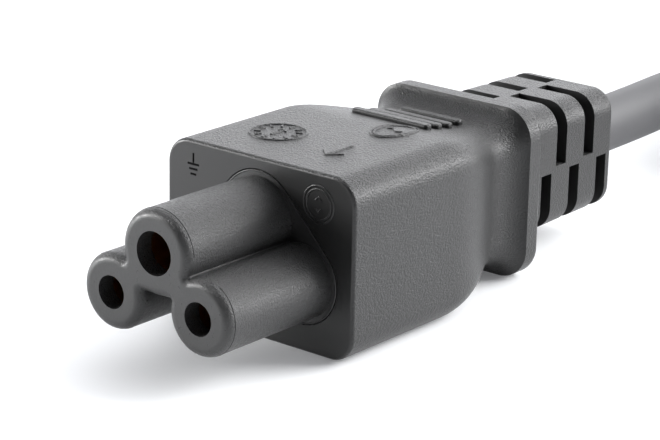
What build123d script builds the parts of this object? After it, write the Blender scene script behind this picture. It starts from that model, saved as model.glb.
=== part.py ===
from build123d import *
import os
from math import pi, radians, sqrt, tan

# Cloverleaf power connector on its lead, in millimetres.
# The nose points to -Y, the cord leaves towards +Y, and the moulding lies on z = 0.
# The origin is on that surface, under the middle of the moulding.

# Nose and its three pin holes
pin_pitch = 8.85
earth_rise = 4.1
live_row_z = 5.8
live_hole_d = 2.66
earth_hole_d = 3.48
live_lobe_r = 3.06
earth_lobe_r = 3.4
nose_length = 11.8
nose_edge_r = 0.75
nose_crease_r = 0.12
web_height = 0.75
lip_length = 1.6

# Pre-moulded insert behind the nose
flange_margin = 0.45
seam_chamfer = 0.1
flange_depth = 3.0
insert_depth = 5.2
insert_margin = -0.6

# Moulded body: straight length, taper to the neck, cove up to the rim
body_width = 19.2
body_height = 14.8
body_corner_r = 2.2
body_edge_r = 0.3
straight_length = 12.6
neck_width = 14.0
neck_height = 12.0
neck_corner_r = 2.3
taper_length = 9.6
taper_delay = 1.5
taper_steps = 5
cove_length = 2.8
cove_fullness = 0.97
cove_steps = 4
rim_width = 16.2
rim_height = 14.8
rim_corner_r = 2.7
rim_thickness = 1.8
rim_edge_r = 0.45

# Grip bars across the taper, above and below
bar_count = 4
bar_pitch = 1.8
bar_thickness = 0.85
bar_rise = 0.45
bar_first_width = 7.9
bar_narrowing = 0.55
bar_start = 3.9
bar_end_r = 0.3
bar_top_r = 0.2

# Strain relief of the connector
relief_width = 10.9
relief_height = 11.3
relief_end_height = 10.8
relief_lift = 0.25
relief_corner_r = 2.1
relief_length = 14.7
relief_edge_r = 0.5
slot_count = 5
slot_width = 1.5
slot_pitch = 2.1
end_flange = 0.9
slot_bridge = 0.5
relief_core_wall = 0.8

# Cord and its three cores
cord_d = 5.1
core_d = 1.7
core_gap = 0.12
conductor_d = 0.9
jacket_start = 21.6
core_bend_r = 6.0
core_straight = 2.0
lead_straight = 10.35
tail_straight = 8.5
bend_share = 0.45

# Contacts
contact_wall = 0.35
contact_clearance = 0.05
sleeve_length = 9.4
sleeve_slit = 0.4
funnel_length = 1.5
wire_crimp_length = 2.6
insulation_crimp_length = 2.4

# Hank of the put-away cord
hank_start_y = 57.0
hank_length = 84.0
hank_x = 11.3
hank_fold_r = 18.4
hank_stagger = 3.1
hank_passes = 5
hank_waist = 2.4
hank_waist_r = 40.0
hank_edge = 1.8

# Strap round the hank
strap_width = 11.0
strap_thickness = 1.3
strap_corner_r = 3.0
strap_bite = 0.3
strap_tail_length = 24.0
strap_tail_x = 12.8
strap_tail_r = 2.6

# Three-pin plug at the far end of the cord
plug_entry_y = 163.0
plug_x = 3.0
plug_height = 25.0
blade_spacing = 12.7
blade_width = 6.35
blade_thickness = 1.52
blade_length = 17.1
blade_hole_d = 3.1
blade_hole_from_face = 11.6
blade_tip_chamfer = 0.9
blade_root = 9.0
ground_drop = 11.9
ground_pin_d = 4.77
ground_pin_length = 21.4
ground_tip_r = 2.2
plug_side_margin = 5.4
plug_top_margin = 4.4
plug_corner_r = 4.5
plug_edge = 0.3
plug_straight = 14.0
plug_taper = 12.0
plug_taper_steps = 3
plug_rear_width = 15.0
plug_rear_height = 16.0
plug_relief_size = 9.6
plug_relief_end_size = 8.6
plug_relief_length = 13.0
bridge_margin = 2.6
bridge_depth = 4.0
bridge_corner_r = 2.6
grip_groove_count = 4
grip_groove_pitch = 2.7
grip_groove_width = 1.5
grip_groove_depth = 0.7
grip_groove_length = 14.2

# Places worked out from the sizes above
connector_length = nose_length + straight_length + taper_length + cove_length + rim_thickness + relief_length
tip_y = -connector_length / 2
face_y = tip_y + nose_length
taper_y = face_y + straight_length
neck_y = taper_y + taper_length
rim_y = neck_y + cove_length
relief_y = rim_y + rim_thickness
exit_y = relief_y + relief_length
axis_z = body_height / 2
earth_z = live_row_z + earth_rise
jacket_y = exit_y - jacket_start
insert_rear_y = face_y + insert_depth
sleeve_y = tip_y + lip_length
sleeve_end_y = sleeve_y + sleeve_length
crimp_y = sleeve_end_y + funnel_length
crimp_end_y = crimp_y + wire_crimp_length
insulation_end_y = crimp_end_y + funnel_length / 2 + insulation_crimp_length
cord_r = cord_d / 2
core_r = core_d / 2
conductor_r = conductor_d / 2
hank_top_z = cord_r + (hank_passes - 1) * sqrt(cord_d**2 - hank_stagger**2)
hank_height = hank_top_z + cord_r
strap_y = hank_start_y + (hank_length - strap_width) / 2
plug_axis_z = plug_height / 2
plug_width = blade_spacing + blade_thickness + 2 * plug_side_margin
plug_taper_y = plug_entry_y + plug_relief_length
plug_straight_y = plug_taper_y + plug_taper
plug_face_y = plug_straight_y + plug_straight
blade_z = plug_height - plug_top_margin - blade_width / 2
ground_z = blade_z - ground_drop

# Pin holes as (x, z, hole diameter, lobe radius)
line_pole = (-pin_pitch / 2, live_row_z, live_hole_d, live_lobe_r)
neutral_pole = (pin_pitch / 2, live_row_z, live_hole_d, live_lobe_r)
earth_pole = (0, earth_z, earth_hole_d, earth_lobe_r)
poles = {"line": line_pole, "neutral": neutral_pole, "earth": earth_pole}

# The three cores lie close together inside the jacket, earth on top
core_step = core_d + core_gap
core_ring_r = core_step / sqrt(3)
core_places = {
    "line": (-core_step / 2, axis_z - core_ring_r / 2),
    "neutral": (core_step / 2, axis_z - core_ring_r / 2),
    "earth": (0, axis_z + core_ring_r),
}


def across(y, x=0, z=0):
    """Plane across the cord's direction at y, with its local axes along X and Z."""
    return Plane(origin=(x, y, z), x_dir=(1, 0, 0), z_dir=(0, -1, 0))


def rod(x, z, r, y0, y1):
    return extrude(across(y0, x, z) * Circle(r), -(y1 - y0))


def block(y, width, height, corner_r, z=axis_z, x=0):
    """Rounded rectangle across Y, centred on x and z."""
    return across(y, x, z) * RectangleRounded(width, height, corner_r)


def eased(t):
    return t * t * (3 - 2 * t)


def nose_outline():
    """The three lobes and the web that joins them."""
    outline = Sketch() + [Pos(x, z) * Circle(lobe_r) for x, z, hole_d, lobe_r in poles.values()]
    web_tall = earth_rise / 2
    return outline + Pos(0, live_row_z + web_height + web_tall / 2) * Rectangle(pin_pitch / 2, web_tall)


def hull_of_lobes(margin):
    circles = Sketch() + [Pos(x, z) * Circle(lobe_r + margin) for x, z, hole_d, lobe_r in poles.values()]
    return make_hull(circles.edges())


# Nose insert: nose, flush flange and the rear block that holds the crimps
def make_nose_insert():
    nose = extrude(across(tip_y) * nose_outline(), -(nose_length + flange_depth))
    low = live_row_z + web_height / 2
    near = earth_lobe_r - nose_crease_r / 2
    creases = [e for e in nose.edges().filter_by(Axis.Y) if e.center().Z > low and abs(e.center().X) < near]
    nose = fillet(creases, nose_crease_r)
    front = nose.faces().sort_by(Axis.Y)[0]
    nose = fillet(front.edges(), nose_edge_r)
    flange = extrude(across(face_y) * hull_of_lobes(flange_margin), -flange_depth)
    rear = extrude(across(face_y) * hull_of_lobes(insert_margin), -insert_depth)
    insert = nose + flange + rear
    for x, z, hole_d, lobe_r in poles.values():
        sleeve_r = hole_d / 2 + contact_wall + contact_clearance
        crimp_r = core_r + contact_wall + contact_clearance
        insert -= rod(x, z, hole_d / 2, tip_y - 1, sleeve_y + 1)
        insert -= rod(x, z, sleeve_r, sleeve_y, crimp_y)
        insert -= rod(x, z, crimp_r, crimp_y, insert_rear_y)
    return insert


# Contact: slit sleeve, half funnel, wire crimp and insulation crimp
def make_contact(x, z, hole_d):
    bore_r = hole_d / 2
    sleeve = rod(x, z, bore_r + contact_wall, sleeve_y, sleeve_end_y) - rod(x, z, bore_r, sleeve_y, sleeve_end_y)
    slit = Pos(x, (sleeve_y + sleeve_end_y) / 2, z - bore_r) * Box(sleeve_slit, sleeve_length, 3 * contact_wall)
    crimp = rod(x, z, conductor_r + contact_wall, crimp_y, crimp_end_y)
    grip_y = insulation_end_y - insulation_crimp_length
    grip = rod(x, z, core_r + contact_wall, grip_y, insulation_end_y)
    contact = (sleeve - slit) + crimp + grip
    contact += half_funnel(x, z, bore_r, sleeve_end_y, conductor_r, crimp_y)
    contact += half_funnel(x, z, conductor_r, crimp_end_y, core_r, grip_y)
    contact -= rod(x, z, conductor_r, crimp_y, insulation_end_y)
    contact -= rod(x, z, core_r, grip_y, insulation_end_y)
    return contact


def half_funnel(x, z, r0, y0, r1, y1):
    """Upper half of a cone of sheet that joins two round stretches of a contact."""
    wall = Polygon((r0, y0), (r0 + contact_wall, y0), (r1 + contact_wall, y1), (r1, y1), align=None)
    turned = revolve(wall, Axis.Y, 360)
    reach = max(r0, r1) + contact_wall
    upper = Pos(0, (y0 + y1) / 2, reach / 2) * Box(2 * reach, y1 - y0, reach)
    return Pos(x, 0, z) * (turned & upper)


# Cores from the crimps to the jacket
def core_path(pole, start_y):
    x, z = poles[pole][:2]
    inner_x, inner_z = core_places[pole]
    points = [
        (x, start_y, z),
        (x, insulation_end_y + core_straight, z),
        (inner_x, jacket_y - core_straight, inner_z),
        (inner_x, exit_y, inner_z),
    ]
    return FilletPolyline(*points, radius=core_bend_r)


def swept(pole, r, start_y):
    x, z = poles[pole][:2]
    return sweep(across(start_y, x, z) * Circle(r), path=core_path(pole, start_y))


def make_conductor(pole):
    return swept(pole, conductor_r, crimp_y)


def make_core(pole):
    start_y = insulation_end_y - insulation_crimp_length
    return swept(pole, core_r, start_y) - swept(pole, conductor_r, start_y)


def make_jacket_end():
    jacket = rod(0, axis_z, cord_r, jacket_y, exit_y)
    for x, z in core_places.values():
        jacket -= rod(x, z, core_r, jacket_y, exit_y)
    return jacket


# Strain relief with slots that cut opposite quarters in turn, down to a round core
def make_relief(y0, length, width, height, end_width, end_height, corner_r, x=0, z=axis_z, lift=0, towards=1):
    y1 = y0 + towards * length
    cord_z = z
    z += lift
    tube = loft([block(y0, width, height, corner_r, z, x), block(y1, end_width, end_height, corner_r, z, x)])
    end = tube.faces().sort_by(Axis.Y)[-1 if towards > 0 else 0]
    tube = fillet(end.edges(), relief_edge_r)
    core = rod(x, cord_z, cord_r + relief_core_wall, min(y0, y1), max(y0, y1))
    reach = max(width, height)
    for i in range(slot_count):
        y = y1 - towards * (end_flange + slot_width / 2 + i * slot_pitch)
        side = 1 if i % 2 else -1
        for up in (1, -1):
            corner = Box(reach, slot_width, reach)
            offset = (reach + slot_bridge) / 2
            cut = Pos(x + side * up * offset, y, z + up * offset) * corner
            tube -= cut - core
    return tube


# Grip bars that follow the taper, above and below
def make_bars():
    bars = []
    for i in range(bar_count):
        y = taper_y + bar_start + i * bar_pitch
        t = (y - taper_y) / taper_length
        half_height = (body_height + (neck_height - body_height) * eased(t)) / 2
        width = bar_first_width - i * bar_narrowing
        bar = Box(width, bar_thickness, 2 * min(half_height + bar_rise, body_height / 2))
        bar = fillet(bar.edges().filter_by(Axis.Z), bar_end_r)
        tops = bar.edges().group_by(Axis.Z)
        bars.append(Pos(0, y, axis_z) * fillet(tops[0] + tops[-1], bar_top_r))
    return bars


# Overmoulding: body, taper, cove, rim and strain relief in one piece
def make_overmould(inner_parts):
    straight = extrude(block(face_y, body_width, body_height, body_corner_r), -straight_length)
    straight = fillet(straight.faces().sort_by(Axis.Y)[0].edges(), body_edge_r)
    sections = []
    for i in range(taper_steps + 1):
        t = i / taper_steps
        sections.append(
            block(
                taper_y + taper_length * t,
                body_width + (neck_width - body_width) * eased(t**taper_delay),
                body_height + (neck_height - body_height) * eased(t),
                body_corner_r + (neck_corner_r - body_corner_r) * t,
            )
        )
    taper = loft(sections)
    cove_sections = []
    for i in range(cove_steps + 1):
        t = i / cove_steps
        s = (1 - sqrt(1 - (cove_fullness * t) ** 2)) / (1 - sqrt(1 - cove_fullness**2))
        cove_sections.append(
            block(
                neck_y + cove_length * t,
                neck_width + (rim_width - neck_width) * s,
                neck_height + (rim_height - neck_height) * s,
                neck_corner_r + (rim_corner_r - neck_corner_r) * s,
            )
        )
    cove = loft(cove_sections)
    rim = extrude(block(rim_y, rim_width, rim_height, rim_corner_r), -rim_thickness)
    rim = fillet(rim.faces().sort_by(Axis.Y)[-1].edges(), rim_edge_r)
    relief = make_relief(
        relief_y, relief_length, relief_width, relief_height, relief_width, relief_end_height, relief_corner_r,
        lift=relief_lift
    )
    body = straight + taper + cove + rim + relief
    body += make_bars()
    for part in inner_parts:
        body -= part
    opening = [e for e in body.edges() if abs(e.center().Y - face_y) < seam_chamfer / 2 and is_seam(e)]
    return chamfer(opening, seam_chamfer)


def is_seam(edge):
    """True for the edges of the front face that lie round the insert, inside the body's own outline."""
    box = edge.bounding_box()
    return max(abs(box.min.X), abs(box.max.X)) < body_width / 2 - body_edge_r - seam_chamfer


# Free cord as straight runs joined by tangent arcs
def cord_radii(points):
    radii = []
    for a, b, c in zip(points, points[1:], points[2:]):
        before = Vector(b) - Vector(a)
        after = Vector(c) - Vector(b)
        half_turn = radians(before.get_angle(after)) / 2
        radii.append(bend_share * min(before.length, after.length) / tan(half_turn))
    return radii


def cord_tube(points):
    path = FilletPolyline(*points, radius=cord_radii(points))
    start = Plane(origin=path @ 0, z_dir=path % 0)
    return sweep(start * Circle(cord_r), path=path), path


lead_points = [
    (0, exit_y, axis_z),
    (0, exit_y + lead_straight, axis_z),
    (-1.2, 49.5, 7.3),
    (-4.6, 60.5, 4.9),
    (-7.0, 71.0, 2.7),
    (hank_x - hank_fold_r, 81.0, cord_r),
]
tail_points = [
    (hank_x - hank_fold_r, 110.0, hank_top_z),
    (-7.3, 120.0, 18.6),
    (-7.1, 130.0, 18.0),
    (-4.6, 138.8, 15.8),
    (0.6, 146.2, 13.7),
    (plug_x, plug_entry_y - tail_straight, plug_axis_z),
    (plug_x, plug_entry_y, plug_axis_z),
]


# Hank: the outer shape of the folded turns, a little drawn in at the strap
def hank_outline():
    half = hank_fold_r + cord_r
    centre_y = hank_start_y + hank_length / 2
    fold_y = hank_length / 2 - half
    ends = [Pos(hank_x, centre_y + side * fold_y) * Circle(half) for side in (1, -1)]
    middle = Pos(hank_x, centre_y) * Rectangle(2 * (half - hank_waist), 2 * fold_y)
    outline = Sketch() + ends + middle
    # on a short hank the curves stay within their half of the straight side
    curve_y = 0.9 * fold_y
    widest_r = (curve_y**2 / hank_waist + hank_waist) / 2 - half
    return fillet(outline.vertices(), min(hank_waist_r, widest_r))


def strap_inside():
    """Width, height and middle height of the strap's inside, which presses a little into the turns."""
    width = 2 * (hank_fold_r + cord_r - hank_waist - strap_bite)
    low = strap_thickness + strap_bite
    high = hank_height - strap_bite
    return width, high - low, (low + high) / 2


def make_hank():
    hank = extrude(hank_outline(), hank_height)
    rims = hank.edges().group_by(Axis.Z)
    hank = chamfer(rims[0] + rims[-1], hank_edge)
    width, height, middle_z = strap_inside()
    girdle = block(strap_y, width, height, strap_corner_r, middle_z, hank_x)
    around = across(strap_y, hank_x, middle_z) * Rectangle(4 * hank_fold_r, 2 * hank_height)
    return hank - extrude(around - girdle, -strap_width)


def make_strap():
    width, height, middle_z = strap_inside()
    grow = 2 * strap_thickness
    outer = block(strap_y, width + grow, height + grow, strap_corner_r + strap_thickness, middle_z, hank_x)
    inner = block(strap_y, width, height, strap_corner_r, middle_z, hank_x)
    ring = extrude(outer - inner, -strap_width)
    tail = Box(strap_tail_length, strap_width, strap_thickness)
    tail = fillet(tail.edges().filter_by(Axis.Z), strap_tail_r)
    top_z = middle_z + height / 2 + strap_thickness
    return ring + Pos(strap_tail_x, strap_y + strap_width / 2, top_z + strap_thickness / 2) * tail


# Plug: body on its bridge, two flat blades and a round earth pin, pointing to +Y
def make_blade(side):
    x = plug_x + side * blade_spacing / 2
    root_y = plug_face_y - blade_root
    blade = Box(blade_thickness, blade_root + blade_length, blade_width)
    tip = blade.faces().sort_by(Axis.Y)[-1]
    blade = chamfer(tip.edges().filter_by(Axis.X), blade_tip_chamfer)
    blade = Pos(x, root_y + (blade_root + blade_length) / 2, blade_z) * blade
    hole_place = Pos(x, plug_face_y + blade_hole_from_face, blade_z) * Rot(0, 90, 0)
    return blade - hole_place * Cylinder(blade_hole_d / 2, 2 * blade_thickness)


def make_ground_pin():
    pin = rod(plug_x, ground_z, ground_pin_d / 2, plug_face_y - blade_root, plug_face_y + ground_pin_length)
    tip = pin.faces().sort_by(Axis.Y)[-1]
    return fillet(tip.edges(), ground_tip_r)


def make_bridge(pins):
    width = plug_width - 2 * bridge_margin
    height = plug_height - 2 * bridge_margin
    bridge = extrude(
        block(plug_face_y - bridge_depth, width, height, bridge_corner_r, plug_axis_z, plug_x), -bridge_depth
    )
    for pin in pins:
        bridge -= pin
    return bridge


def make_plug_body(inner_parts):
    front = block(plug_straight_y, plug_width, plug_height, plug_corner_r, plug_axis_z, plug_x)
    straight = extrude(front, -plug_straight)
    straight = chamfer(straight.faces().sort_by(Axis.Y)[-1].edges(), plug_edge)
    sections = []
    for i in range(plug_taper_steps + 1):
        t = i / plug_taper_steps
        s = eased(1 - t)
        sections.append(
            block(
                plug_taper_y + plug_taper * t,
                plug_width + (plug_rear_width - plug_width) * s,
                plug_height + (plug_rear_height - plug_height) * s,
                plug_corner_r,
                plug_axis_z,
                plug_x,
            )
        )
    taper = loft(sections)
    relief = make_relief(
        plug_taper_y, plug_relief_length, plug_relief_size, plug_relief_size, plug_relief_end_size,
        plug_relief_end_size, relief_corner_r, plug_x, plug_axis_z, towards=-1
    )
    body = straight + taper + relief
    for side in (1, -1):
        for i in range(grip_groove_count):
            y = plug_straight_y + i * grip_groove_pitch
            x = plug_x + side * plug_width / 2
            groove = Box(2 * grip_groove_depth, grip_groove_width, grip_groove_length)
            body -= Pos(x, y, plug_axis_z) * groove
    for part in inner_parts:
        body -= part
    return body


nose_insert = make_nose_insert()
contacts = {pole: make_contact(*place[:3]) for pole, place in poles.items()}
conductors = {pole: make_conductor(pole) for pole in poles}
cores = {pole: make_core(pole) for pole in poles}
jacket_end = make_jacket_end()

# What the overmoulding flows round: filled outlines, so that nothing is left open inside
insert_block = extrude(across(face_y) * hull_of_lobes(insert_margin), -insert_depth)
flange_block = extrude(across(face_y) * hull_of_lobes(flange_margin), -flange_depth)
crimps = [rod(x, z, core_r + contact_wall, insert_rear_y, insulation_end_y) for x, z, d, r in poles.values()]
core_fills = [swept(pole, core_r, insert_rear_y) for pole in poles]
jacket_fill = rod(0, axis_z, cord_r, jacket_y, exit_y)
overmould = make_overmould([insert_block, flange_block, *crimps, *core_fills, jacket_fill])

lead, lead_path = cord_tube(lead_points)
tail, tail_path = cord_tube(tail_points)
hank = make_hank()
strap = make_strap()

blades = {"left": make_blade(-1), "right": make_blade(1)}
ground_pin = make_ground_pin()
pins = [*blades.values(), ground_pin]
bridge = make_bridge(pins)
plug_body = make_plug_body([bridge, *pins])

nodes = {
    "nose_insert": nose_insert,
    "overmould": overmould,
    "jacket_end": jacket_end,
    "cord_lead": lead,
    "cord_hank": hank,
    "cord_tail": tail,
    "hank_strap": strap,
    "plug_body": plug_body,
    "plug_bridge": bridge,
    "plug_line_blade": blades["left"],
    "plug_neutral_blade": blades["right"],
    "plug_earth_pin": ground_pin,
}
for pole in poles:
    nodes[f"{pole}_contact"] = contacts[pole]
    nodes[f"{pole}_conductor"] = conductors[pole]
    nodes[f"{pole}_core"] = cores[pole]

os.makedirs("parts", exist_ok=True)
for name, shape in nodes.items():
    export_step(shape, f"parts/{name}.step")
    print(name, len(shape.solids()), "solid, volume", round(shape.volume, 2), "mm3, valid", shape.is_valid)

free_runs = (("lead", lead_points, lead_path, lead), ("tail", tail_points, tail_path, tail))
for name, points, path, tube in free_runs:
    radii = [round(r, 1) for r in cord_radii(points)]
    share = tube.volume / (pi * cord_r**2 * path.length)
    print(name, "length", round(path.length, 1), "radii", radii, "volume share", round(share, 4))
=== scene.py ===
import bpy
import bmesh
import math
from mathutils import Matrix, Vector


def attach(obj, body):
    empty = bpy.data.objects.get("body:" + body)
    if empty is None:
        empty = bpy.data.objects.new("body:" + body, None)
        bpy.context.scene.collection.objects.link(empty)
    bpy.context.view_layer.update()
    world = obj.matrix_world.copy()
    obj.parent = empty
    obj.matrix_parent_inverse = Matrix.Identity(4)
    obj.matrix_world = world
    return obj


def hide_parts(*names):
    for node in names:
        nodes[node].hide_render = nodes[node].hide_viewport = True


# Cloverleaf power connector on a white studio table, nose towards the camera.
# Everything is in metres, in the part's own frame; sizes below are in millimetres.

mm = 0.001
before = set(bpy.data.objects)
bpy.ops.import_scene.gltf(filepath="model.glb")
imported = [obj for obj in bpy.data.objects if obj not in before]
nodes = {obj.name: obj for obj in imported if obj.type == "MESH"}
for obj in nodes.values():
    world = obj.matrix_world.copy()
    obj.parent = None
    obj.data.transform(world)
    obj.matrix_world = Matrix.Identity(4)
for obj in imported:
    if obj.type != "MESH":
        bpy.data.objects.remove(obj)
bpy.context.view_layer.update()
print("frame loaded,", len(nodes), "parts")


# Helpers for points, colours, objects and round lines in space
def asMetres(point):
    return Vector(point) * mm


def linearColour(hexText):
    # sRGB hex to the linear numbers that shaders want
    channels = [int(hexText.lstrip("#")[i:i + 2], 16) / 255 for i in (0, 2, 4)]
    linear = [c / 12.92 if c <= 0.04045 else ((c + 0.055) / 1.055) ** 2.4 for c in channels]
    return (*linear, 1.0)


def addObject(name, data):
    item = bpy.data.objects.new(name, data)
    bpy.context.scene.collection.objects.link(item)
    return item


def roundLine(name, radius, roundness, material):
    data = bpy.data.curves.new(name, "CURVE")
    data.dimensions = "3D"
    data.bevel_depth = radius * mm
    data.bevel_resolution = roundness
    data.materials.append(material)
    return addObject(name, data)


def addSpline(line, kind, points):
    spline = line.data.splines.new(kind)
    spline.points.add(len(points) - 1)
    for place, point in zip(spline.points, points):
        place.co = (*asMetres(point), 1)
    spline.use_smooth = True
    return spline


# Camera: found by lining the sizes of the connector up with the photograph
cameraSettings = {
    "azimuth": 39.158,       # degrees from the nose's own axis
    "elevation": 18.071,
    "roll": 1.143,
    "distance": 186.76,      # from the nose tip, along the view
    "shiftRight": 13.15,     # how far the nose tip lies left of the middle of the view
    "shiftUp": 6.395,        # and below it
    "target": (0, -26.65, 5.8),
    "lens": 136.5,
    "sensor": 36,
    "nearest": 10,           # nothing nearer than this is drawn
}


def makeCamera():
    c = cameraSettings
    az, el, roll = (math.radians(c[key]) for key in ("azimuth", "elevation", "roll"))
    back = Vector((math.sin(az) * math.cos(el), -math.cos(az) * math.cos(el), math.sin(el)))
    right = Vector((math.cos(az), math.sin(az), 0))
    up = back.cross(right)
    rolledRight = right * math.cos(roll) + up * math.sin(roll)
    rolledUp = up * math.cos(roll) - right * math.sin(roll)
    place = Vector(c["target"]) + back * c["distance"]
    place += rolledRight * c["shiftRight"] + rolledUp * c["shiftUp"]
    data = bpy.data.cameras.new("studioCamera")
    data.lens = c["lens"]
    data.sensor_width = c["sensor"]
    data.clip_start = c["nearest"] * mm
    camera = addObject("studioCamera", data)
    turn = Matrix((rolledRight, rolledUp, back)).transposed().to_4x4()
    camera.matrix_world = Matrix.Translation(asMetres(place)) @ turn
    bpy.context.scene.camera = camera


makeCamera()
print("camera placed")


# Materials. One function adds a node with its settings and its links.
def addNode(tree, kind, settings=None, links=None, **attributes):
    node = tree.nodes.new(kind)
    for name, value in attributes.items():
        setattr(node, name, value)
    for name, value in (settings or {}).items():
        node.inputs[name].default_value = value
    for name, socket in (links or {}).items():
        tree.links.new(socket, node.inputs[name])
    return node


def newMaterial(name, surface, colour=None):
    material = bpy.data.materials.new(name)
    material.use_nodes = True
    shader = material.node_tree.nodes["Principled BSDF"]
    for key, value in surface.items():
        shader.inputs[key].default_value = value
    if colour:
        shader.inputs["Base Color"].default_value = linearColour(colour)
    return material, material.node_tree, shader


def objectPoint(tree, stretch=1.0):
    # a stretch above one draws the pattern out along Y
    point = addNode(tree, "ShaderNodeTexCoord").outputs["Object"]
    scale = {"Scale": (1.0, 1 / stretch, 1.0)}
    return addNode(tree, "ShaderNodeMapping", scale, {"Vector": point}).outputs["Vector"]


def noise(tree, point, size, pattern):
    # size is the real one of a grain of the pattern, in millimetres
    settings = {"Scale": 1 / (size * mm), **pattern}
    return addNode(tree, "ShaderNodeTexNoise", settings, {"Vector": point}).outputs["Fac"]


def mapRange(tree, value, before, after, **attributes):
    limits = {"From Min": before[0], "From Max": before[1], "To Min": after[0], "To Max": after[1]}
    return addNode(tree, "ShaderNodeMapRange", limits, {"Value": value}, **attributes).outputs["Result"]


def combine(tree, operation, first, second, **attributes):
    links = {0: first, 1: second}
    return addNode(tree, "ShaderNodeMath", links=links, operation=operation, **attributes).outputs[0]


def addBump(tree, shader, height, depth, strength=None):
    # depth is the real one, in millimetres; a strength socket scales it from place to place
    links = {"Height": height}
    if strength:
        links["Strength"] = strength
    bump = addNode(tree, "ShaderNodeBump", {"Distance": depth * mm, "Strength": 1.0}, links)
    tree.links.new(bump.outputs["Normal"], shader.inputs["Normal"])


# Where a surface counts as looking forward or up, and the grain's strength on plain sides
grainTowards = {
    "forward": (-0.97, -0.8),    # the normal's Y, from straight forward to well aside
    "upward": (0.4, 0.95),       # the normal's Z, from aslant to straight up
    "sideStrength": 0.5,
}


def grainStrength(tree, onFront, onTop):
    # the mould is smoother where the surface looks forward, and coarser where it looks up
    g = grainTowards
    normal = addNode(tree, "ShaderNodeNewGeometry").outputs["Normal"]
    towards = addNode(tree, "ShaderNodeSeparateXYZ", links={"Vector": normal}).outputs
    front = mapRange(tree, towards["Y"], g["forward"], (onFront, 1.0))
    top = mapRange(tree, towards["Z"], g["upward"], (g["sideStrength"], onTop))
    return combine(tree, "MULTIPLY", front, top)


# Plasticised PVC, injection moulded in a spark-eroded mould: dull, finely pitted
mouldedPvc = {
    "surface": {"IOR": 1.53, "Specular IOR Level": 0.44},
    "colour": "#1f1f1f",
    "grain": 0.14,           # width of one pit
    "grainDepth": 0.16,
    "grainPattern": {"Detail": 2.0, "Roughness": 0.6},
    "onFront": 0.06,
    "onTop": 1.7,
    "stretch": 1.5,          # pits are drawn out a little along the flow of the melt
    "blotch": 6.0,           # slow changes of tone from the flow of the melt
    "blotchPattern": {"Detail": 2.0},
    "blotchTones": ((0.3, 0.9), (0.7, 1.12)),    # place in the pattern, share of the colour
    "roughness": (0.3, 0.42),
}


def makeMouldedPvc():
    m = mouldedPvc
    material, tree, shader = newMaterial("mouldedPvc", m["surface"])
    point = objectPoint(tree, m["stretch"])
    pits = noise(tree, point, m["grain"], m["grainPattern"])
    slow = noise(tree, point, m["blotch"], m["blotchPattern"])
    tree.links.new(mapRange(tree, pits, (0, 1), m["roughness"]), shader.inputs["Roughness"])
    tone = addNode(tree, "ShaderNodeValToRGB", links={"Fac": slow})
    base = linearColour(m["colour"])[:3]
    for element, (position, share) in zip(tone.color_ramp.elements, m["blotchTones"]):
        element.position = position
        element.color = [c * share for c in base] + [1]
    tree.links.new(tone.outputs["Color"], shader.inputs["Base Color"])
    addBump(tree, shader, pits, m["grainDepth"], grainStrength(tree, m["onFront"], m["onTop"]))
    return material


# Glass-filled nylon, injection moulded: harder and slightly glossier than the PVC round it
insertNylon = {
    "surface": {"IOR": 1.54, "Specular IOR Level": 0.5},
    "colour": "#2a2a2a",
    "grain": 0.16,
    "grainDepth": 0.17,
    "grainPattern": {"Detail": 3.0, "Roughness": 0.7},
    "onFront": 0.3,
    "onTop": 1.0,
    "mottle": 0.38,          # patches where the glass fibres come nearer to the surface
    "mottlePattern": {"Detail": 4.0, "Roughness": 0.75},
    "mottleSpread": (0.35, 0.65),
    "roughness": (0.27, 0.5),
}


def makeInsertNylon():
    m = insertNylon
    material, tree, shader = newMaterial("insertNylon", m["surface"], m["colour"])
    point = objectPoint(tree)
    grain = noise(tree, point, m["grain"], m["grainPattern"])
    mottle = noise(tree, point, m["mottle"], m["mottlePattern"])
    rough = mapRange(tree, mottle, m["mottleSpread"], m["roughness"])
    tree.links.new(rough, shader.inputs["Roughness"])
    addBump(tree, shader, grain, m["grainDepth"], grainStrength(tree, m["onFront"], m["onTop"]))
    return material


# Plasticised PVC jacket, extruded: satin, with faint ripples along the cord
jacketPvc = {
    "surface": {"IOR": 1.53, "Roughness": 0.6},
    "colour": "#505052",
    "ripple": 1.8,
    "rippleDepth": 0.012,
    "ripplePattern": {"Detail": 2.0},
}


def makeJacketPvc():
    m = jacketPvc
    material, tree, shader = newMaterial("jacketPvc", m["surface"], m["colour"])
    ripple = noise(tree, objectPoint(tree), m["ripple"], m["ripplePattern"])
    addBump(tree, shader, ripple, m["rippleDepth"])
    return material


# Metals, drawn or plated: brass contacts, bare copper strands, nickel-plated pins
metals = {
    "drawnBrass": {"colour": "#b57a48", "roughness": 0.34, "markWidth": 0.1, "markDepth": 0.004},
    "copperStrands": {"colour": "#c47a52", "roughness": 0.35, "markWidth": 0.24, "markDepth": 0.02},
    "nickelPlate": {"colour": "#a29e97", "roughness": 0.26, "markWidth": 0.12, "markDepth": 0.003},
}
drawingMarks = {
    "stretch": 16,           # they run along Y
    "pattern": {"Detail": 3.0},
    "smoother": 0.06,        # how far the roughness goes down and up from the metal's own
    "rougher": 0.08,
}


def makeMetal(name):
    m = metals[name]
    material, tree, shader = newMaterial(name, {"Metallic": 1.0}, m["colour"])
    point = objectPoint(tree, drawingMarks["stretch"])
    marks = noise(tree, point, m["markWidth"], drawingMarks["pattern"])
    spread = (m["roughness"] - drawingMarks["smoother"], m["roughness"] + drawingMarks["rougher"])
    tree.links.new(mapRange(tree, marks, (0, 1), spread), shader.inputs["Roughness"])
    addBump(tree, shader, marks, m["markDepth"])
    return material


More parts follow.
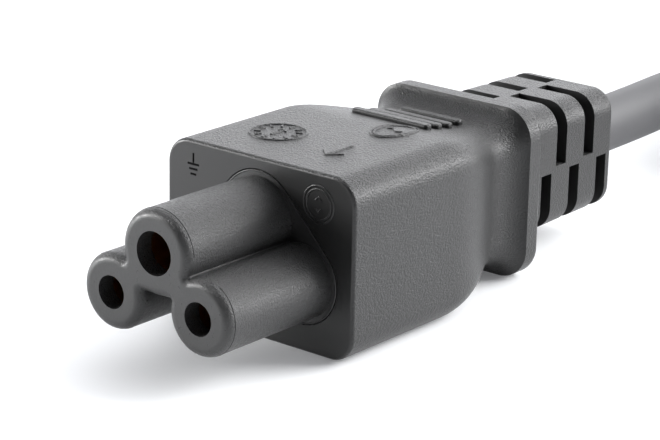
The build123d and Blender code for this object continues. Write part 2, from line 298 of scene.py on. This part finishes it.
# Coloured PVC over each conductor, extruded: glossy and even, with a stripe along the earth core
corePvc = {
    "line": ("brownCorePvc", "#5a3420", None),
    "neutral": ("blueCorePvc", "#2a63a8", None),
    "earth": ("earthCorePvc", "#3f8a3a", "#d8c531"),
}
coreSurface = {"IOR": 1.53, "Roughness": 0.35}
stripeEdge = (0.25, 0.35)    # the normal's X, where the stripe starts


def makeCorePvc(name, colour, stripe):
    material, tree, shader = newMaterial(name, coreSurface, colour)
    if stripe:
        normal = addNode(tree, "ShaderNodeNewGeometry").outputs["Normal"]
        towards = addNode(tree, "ShaderNodeSeparateXYZ", links={"Vector": normal}).outputs
        band = mapRange(tree, towards["X"], stripeEdge, (0, 1))
        mix = addNode(tree, "ShaderNodeMix", links={"Factor": band}, data_type="RGBA")
        plain, striped = (socket for socket in mix.inputs if socket.type == "RGBA")
        plain.default_value = linearColour(colour)
        striped.default_value = linearColour(stripe)
        mixed = next(socket for socket in mix.outputs if socket.type == "RGBA")
        tree.links.new(mixed, shader.inputs["Base Color"])
    return material


# Nylon hook-and-loop tape, woven with a napped face: soft sheen, no gloss
loopTape = {
    "surface": {"Roughness": 0.95, "Specular IOR Level": 0.2, "Sheen Weight": 0.35, "Sheen Roughness": 0.5},
    "colour": "#1d1d1f",
    "pile": 0.56,            # width of one tuft
    "pileDepth": 0.12,
    "unevenness": 0.9,
}


def makeLoopTape():
    m = loopTape
    material, tree, shader = newMaterial("loopTape", m["surface"], m["colour"])
    settings = {"Scale": 1 / (m["pile"] * mm), "Randomness": m["unevenness"]}
    pile = addNode(tree, "ShaderNodeTexVoronoi", settings, {"Vector": objectPoint(tree)})
    addBump(tree, shader, pile.outputs["Distance"], m["pileDepth"])
    return material


pvc = makeMouldedPvc()
nylon = makeInsertNylon()
jacket = makeJacketPvc()
tape = makeLoopTape()
# painted shadow: one near-black colour stands in for the shading in the sunk earth symbol, the creases
# between the lobes and the parting line round them
paintedShade = newMaterial("paintedShadePvc", {"Roughness": 0.9, "Specular IOR Level": 0.1}, "#0b0b0b")[0]
brass, copper, nickel = (makeMetal(name) for name in metals)
coreMaterials = {pole: makeCorePvc(*settings) for pole, settings in corePvc.items()}
print("materials made")


def dress(nodeName, material):
    part = nodes[nodeName]
    for slot in part.material_slots:
        slot.link = "OBJECT"
        slot.material = material


for nodeName in ("overmould", "plug_body"):
    dress(nodeName, pvc)
for nodeName in ("nose_insert", "plug_bridge"):
    dress(nodeName, nylon)
dress("jacket_end", jacket)
dress("hank_strap", tape)
for pole, coreMaterial in coreMaterials.items():
    dress(pole + "_contact", brass)
    dress(pole + "_conductor", copper)
    dress(pole + "_core", coreMaterial)
for nodeName in ("plug_line_blade", "plug_neutral_blade", "plug_earth_pin"):
    dress(nodeName, nickel)
print("parts dressed")


# Marks moulded into the housing, and near-black lines of painted shadow in its grooves and creases: fine
# round ridges that stand partly out of the surface
housing = {
    "faceY": -14.85,
    "taperY": -2.25,         # the top is level as far as here
    "taperLength": 9.6,
    "axisZ": 7.4,
    "height": 14.8,
    "neckHeight": 12.0,
}
ridgeRoundness = 2


def topZ(y):
    t = min(max((y - housing["taperY"]) / housing["taperLength"], 0), 1)
    drop = housing["height"] - housing["neckHeight"]
    return housing["axisZ"] + (housing["height"] - drop * t * t * (3 - 2 * t)) / 2


# A path is a list of points and a note whether it closes.
# On the face its points are x and z, on the top x and y; these two add the third one.
def onFace(paths, radius, proud):
    y = housing["faceY"] - proud + radius
    return [([(x, y, z) for x, z in points], closed) for points, closed in paths]


def onTop(paths, radius, proud):
    lift = proud - radius
    return [([(x, y, topZ(y) + lift) for x, y in points], closed) for points, closed in paths]


def ridges(name, paths, radius, material):
    marks = roundLine(name, radius, ridgeRoundness, material)
    marks.data.use_fill_caps = True
    for points, closed in paths:
        addSpline(marks, "POLY", points).use_cyclic_u = closed
    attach(marks, "root")


def arc(x, v, halfX, halfV, start, end, steps):
    turns = [math.radians(start + (end - start) * i / steps) for i in range(steps + 1)]
    return [(x + halfX * math.cos(turn), v + halfV * math.sin(turn)) for turn in turns]


def ring(x, v, halfX, halfV, count=40):
    return arc(x, v, halfX, halfV, 0, 360, count)[:-1], True


def arrowHead(x, v, wide, long):
    # from its foot at v to its tip; a negative length points it the other way
    return [(x - wide, v), (x, v + long), (x + wide, v)], False


# The nose's lobes: x, z and radius
lobes = {
    "earth": (0, 9.9, 3.4),
    "line": (-4.425, 5.8, 3.06),
    "neutral": (4.425, 5.8, 3.06),
}
frontMarks = {
    "ring": (6.03, 12.26),
    "ringRadii": (1.5, 1.22),
    "sign": (0.32, 0.3),     # half height and half width of the two small arrow heads in the ring
    "ridge": 0.09,
    "proud": 0.07,
    "earthX": -6.83,
    "earthStem": (13.73, 12.94),
    "earthBars": ((12.82, 0.59), (12.42, 0.42), (12.0, 0.28)),
    "earthLine": 0.12,
    "earthProud": 0.05,
    "seamMargin": 0.37,      # the seam lies this far outside the lobes
    "seamSteps": 144,
    "seamRidge": 0.08,
    "seamProud": 0.05,
    "creaseX": 3.14,
    "creaseZ": 8.6,
    "creaseY": (-25.9, -14.85),
    "creaseLine": 0.09,
    "flashY": -25.9,         # parting line of the mould, where the nose starts to round off
    "flashArcs": {"earth": (5, 175), "line": (120, 300), "neutral": (-120, 60)},    # in degrees
    "flashSteps": 48,
    "flashLine": 0.05,
    "flashProud": 0.015,
}


def hullPath(margin, count):
    # for each direction, the lobe that reaches farthest that way gives the point
    points = []
    for i in range(count):
        c, s = math.cos(2 * math.pi * i / count), math.sin(2 * math.pi * i / count)
        x, z, r = max(lobes.values(), key=lambda lobe: lobe[0] * c + lobe[1] * s + lobe[2])
        points.append((x + (r + margin) * c, z + (r + margin) * s))
    return points


def makeMouldRings():
    m = frontMarks
    x, z = m["ring"]
    high, wide = m["sign"]
    paths = [ring(x, z, r, r) for r in m["ringRadii"]]
    paths += [arrowHead(x, z + way * high, wide, way * high) for way in (1, -1)]
    ridges("mouldRings", onFace(paths, m["ridge"], m["proud"]), m["ridge"], pvc)


# the earth symbol is sunk into the real face; here it is thin ridges in near-black, a painted shadow of its
# grooves
def makeEarthSymbol():
    m = frontMarks
    x = m["earthX"]
    paths = [([(x, z) for z in m["earthStem"]], False)]
    paths += [([(x - half, z), (x + half, z)], False) for z, half in m["earthBars"]]
    ridges("earthSymbol", onFace(paths, m["earthLine"], m["earthProud"]), m["earthLine"], paintedShade)


def makeNoseSeam():
    m = frontMarks
    paths = [(hullPath(m["seamMargin"], m["seamSteps"]), True)]
    ridges("noseSeam", onFace(paths, m["seamRidge"], m["seamProud"]), m["seamRidge"], pvc)


# painted shadow: a near-black line laid along each crease between the lobes, where the crease lies in
# shadow
def makeCreaseShadowLines():
    m = frontMarks
    paths = [([(side * m["creaseX"], y, m["creaseZ"]) for y in m["creaseY"]], False) for side in (1, -1)]
    ridges("creaseShadowLines", paths, m["creaseLine"], paintedShade)


# the mould's parting line round the lobes, a thin ridge drawn in near-black: painted shadow along its edge
def makeNoseFlash():
    m = frontMarks
    paths = []
    for pole, (start, end) in m["flashArcs"].items():
        lobeX, lobeZ, r = lobes[pole]
        reach = r + m["flashProud"] - m["flashLine"]
        points = arc(lobeX, lobeZ, reach, reach, start, end, m["flashSteps"])
        paths.append(([(x, m["flashY"], z) for x, z in points], False))
    ridges("noseFlash", paths, m["flashLine"], paintedShade)


topMarks = {
    "oval": (3.0, -1.75, 1.55, 2.45),
    "innerOval": (1.3, 2.15),
    "wave": (0.75, 0.3),     # half length and height of an alternating-current wave
    "waveSteps": 16,
    "clock": (-3.4, -8.6, 2.3),
    "clockTicks": 12,
    "clockTick": (0.62, 0.86),   # from and to, as shares of the radius
    "clockPointer": 0.9,     # half its length
    "clockHead": (0.4, 0.5),     # half width and length of the pointer's head
    "arrow": (3.4, -9.2, 3.4, 1.0),
    "ridge": 0.11,
    "proud": 0.1,
}


def ovalWithWave():
    m = topMarks
    x, y, halfX, halfY = m["oval"]
    reach, swing = m["wave"]
    wave = []
    for i in range(m["waveSteps"] + 1):
        share = i / m["waveSteps"]
        wave.append((x - reach + 2 * reach * share, y + swing * math.sin(2 * math.pi * share)))
    return [ring(x, y, halfX, halfY), ring(x, y, *m["innerOval"]), (wave, False)]


def dateClock():
    m = topMarks
    x, y, r = m["clock"]
    pointer = m["clockPointer"]
    wide, long = m["clockHead"]
    paths = [ring(x, y, r, r)]
    for i in range(m["clockTicks"]):
        turn = 2 * math.pi * i / m["clockTicks"]
        c, s = r * math.cos(turn), r * math.sin(turn)
        paths.append(([(x + c * share, y + s * share) for share in m["clockTick"]], False))
    paths.append(([(x, y - pointer), (x, y + pointer)], False))
    paths.append(arrowHead(x, y + pointer - long, wide, long))
    return paths


def arrowToNose():
    x, y, long, head = topMarks["arrow"]
    tip = y - long / 2
    return [([(x, y + long / 2), (x, tip)], False), arrowHead(x, tip + head, head, -head)]


def makeTopMarks():
    m = topMarks
    paths = ovalWithWave() + dateClock() + arrowToNose()
    ridges("topMarks", onTop(paths, m["ridge"], m["proud"]), m["ridge"], pvc)


makeMouldRings()
makeEarthSymbol()
makeNoseSeam()
makeCreaseShadowLines()
makeNoseFlash()
makeTopMarks()
print("marks laid")


# Cord: leaves the strain relief straight, goes down to the table and folds to and fro into a hank
cordSettings = {
    "diameter": 5.1,
    "roundness": 5,
    "smoothness": 5,         # steps from one point to the next
    "length": 0.914,         # metres: three feet, as such leads have
    "foldRadius": 18.4,
    "foldPoints": 6,
    "crestPower": 1.2,       # above one, a turn is at its crest for a shorter way
    "stagger": 3.1,          # turns lie in the hollows between those below
    "passes": 5,
    "hankX": 11.3,
    "hankStart": 57.0,
    "hankLength": 84.0,
    "settle": 5.0,           # where a turn is straight again after a fold
    "strapReach": (15.55, 11.84),   # outer and inner turns, drawn in by the strap
    "strapLow": 4.3,
    "strapStep": 3.5,        # and pressed closer together
    "strapHalf": 7.0,
}
leadPoints = [
    (0, 26.65, 7.4),
    (0, 37.0, 7.4),
    (-1.2, 49.5, 7.3),
    (-4.6, 60.5, 4.9),
    (-7.0, 71.0, 2.7),
    (-7.1, 81.0, 2.55),
]
tailPoints = [
    (-7.1, 110.0, 18.75),
    (-7.3, 120.0, 18.6),
    (-7.1, 130.0, 18.0),
    (-4.6, 138.8, 15.8),
    (0.6, 146.2, 13.7),
    (3.0, 154.5, 12.5),
    (3.0, 163.0, 12.5),
]


def hankPoints():
    c = cordSettings
    r = c["diameter"] / 2
    startY = c["hankStart"] + c["foldRadius"] + r
    endY = c["hankStart"] + c["hankLength"] - c["foldRadius"] - r
    middleY = (startY + endY) / 2
    rise = math.sqrt(c["diameter"] ** 2 - c["stagger"] ** 2)
    halfStep = math.pi / c["foldPoints"] / 2
    points = []

    def isOuter(side, layer):
        return (layer % 2 == 0) == (side < 0)

    def radius(side, layer):
        return c["foldRadius"] if isOuter(side, layer) else c["foldRadius"] - c["stagger"]

    def straight(side, layer, alongY, last=False):
        outer, inner = c["strapReach"]
        free = (radius(side, layer), r + layer * rise)
        held = (outer if isOuter(side, layer) else inner, c["strapLow"] + layer * c["strapStep"])
        stops = [
            (startY + c["settle"], free),
            (middleY - c["strapHalf"], held),
            (middleY + c["strapHalf"], held),
            (endY - c["settle"], free),
        ]
        for y, (reach, z) in (stops[:3] if last else stops)[::alongY]:
            points.append((c["hankX"] + side * reach, y, z))

    def fold(centreY, away, fromSide, layer, nextLayer):
        bendA, bendB = radius(fromSide, layer), radius(-fromSide, nextLayer)
        zA, zB = r + layer * rise, r + nextLayer * rise
        # at the far end the turns lie flat on each other, so each one rises to clear the one below
        crest = r + layer * c["diameter"] if layer == nextLayer else (zA + zB) / 2
        for i in range(c["foldPoints"]):
            share = (i + 0.5) / c["foldPoints"]
            angle = math.pi * share
            # control points lie outside the bend that the curve between them makes
            bend = (bendA + (bendB - bendA) * share) / math.cos(halfStep)
            hump = math.sin(angle) ** c["crestPower"]
            z = zA + (zB - zA) * share + (crest - (zA + zB) / 2) * hump
            x = c["hankX"] + fromSide * bend * math.cos(angle)
            points.append((x, centreY + away * bend * math.sin(angle), z))

    for layer in range(c["passes"]):
        last = layer == c["passes"] - 1
        straight(-1, layer, 1, last)
        if last:
            break
        fold(endY, 1, -1, layer, layer)
        straight(1, layer, -1)
        fold(startY, -1, 1, layer, layer + 1)
    return points


def makeCord():
    c = cordSettings
    line = roundLine("cord", c["diameter"] / 2, c["roundness"], jacket)
    line.data.resolution_u = c["smoothness"]
    spline = addSpline(line, "NURBS", leadPoints + hankPoints() + tailPoints)
    spline.order_u = 3
    spline.use_endpoint_u = True
    return line


cord = makeCord()
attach(cord, "root")
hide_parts("cord_lead", "cord_hank", "cord_tail")
print("cord laid")


# White table and room: bright behind and above, dark where the camera stands.
# One broad soft box stands behind on the right, and a weaker one in front on the left.
studio = {
    "table": "#f3f4f5",
    "tableHalf": 1500,
    "tableDrop": 0.05,       # keeps the table clear of the part's underside
    "tableGlow": 0.12,       # seen by the camera and in reflections only
    "glowColour": "#fafbff",
    "roomColour": "#fbfcff",
    "roomDark": 0.04,
    "backGlow": 2.6,         # lit wall behind the part
    "backTowards": (-0.1, 0.98, 0.15),
    "backSpread": (-0.1, 0.85),
    "topGlow": 0.25,
    "topSpread": (0.1, 0.8),
    "keyLight": {"place": (315, 405, 285), "size": (360, 360), "power": 4.5},
    "leftLight": {"place": (-430, -270, 110), "size": (220, 160), "power": 3.2},
}


def makeTable():
    surface = {"Roughness": 0.6, "Specular IOR Level": 0.3}
    material, tree, shader = newMaterial("paintedTable", surface, studio["table"])
    shader.inputs["Emission Color"].default_value = linearColour(studio["glowColour"])
    path = addNode(tree, "ShaderNodeLightPath").outputs
    shown = combine(tree, "ADD", path["Is Camera Ray"], path["Is Glossy Ray"])
    seen = combine(tree, "ADD", shown, path["Is Transmission Ray"], use_clamp=True)
    glow = addNode(tree, "ShaderNodeMath", {1: studio["tableGlow"]}, {0: seen}, operation="MULTIPLY")
    tree.links.new(glow.outputs[0], shader.inputs["Emission Strength"])
    bm = bmesh.new()
    bmesh.ops.create_grid(bm, x_segments=2, y_segments=2, size=studio["tableHalf"] * mm)
    bmesh.ops.recalc_face_normals(bm, faces=bm.faces)
    mesh = bpy.data.meshes.new("table")
    bm.to_mesh(mesh)
    bm.free()
    mesh.materials.append(material)
    table = addObject("table", mesh)
    table.location.z = -studio["tableDrop"] * mm


def makeSky():
    world = bpy.data.worlds.new("paleRoom")
    bpy.context.scene.world = world
    world.use_nodes = True
    tree = world.node_tree
    background = tree.nodes["Background"]
    background.inputs["Color"].default_value = linearColour(studio["roomColour"])
    direction = addNode(tree, "ShaderNodeTexCoord").outputs["Generated"]
    towards = {1: studio["backTowards"]}
    behind = addNode(tree, "ShaderNodeVectorMath", towards, {0: direction}, operation="DOT_PRODUCT")
    height = addNode(tree, "ShaderNodeSeparateXYZ", links={"Vector": direction}).outputs["Z"]
    smooth = {"interpolation_type": "SMOOTHSTEP"}
    wallLevels = (studio["roomDark"], studio["backGlow"])
    back = mapRange(tree, behind.outputs["Value"], studio["backSpread"], wallLevels, **smooth)
    top = mapRange(tree, height, studio["topSpread"], (0, studio["topGlow"]), **smooth)
    # the camera itself sees plain white
    seen = addNode(tree, "ShaderNodeLightPath").outputs["Is Camera Ray"]
    room = combine(tree, "ADD", back, top)
    level = addNode(tree, "ShaderNodeMix", {"B": 1.0}, {"Factor": seen, "A": room})
    tree.links.new(level.outputs["Result"], background.inputs["Strength"])


def makeLamp(name):
    settings = studio[name]
    data = bpy.data.lights.new(name, "AREA")
    data.shape = "RECTANGLE"
    data.size, data.size_y = (side * mm for side in settings["size"])
    data.energy = settings["power"]
    lamp = addObject(name, data)
    place = asMetres(settings["place"])
    lamp.matrix_world = Matrix.Translation(place) @ place.to_track_quat("Z", "Y").to_matrix().to_4x4()


makeTable()
makeSky()
for lampName in ("keyLight", "leftLight"):
    makeLamp(lampName)
bpy.context.scene.view_settings.view_transform = "Standard"
print("studio lit")
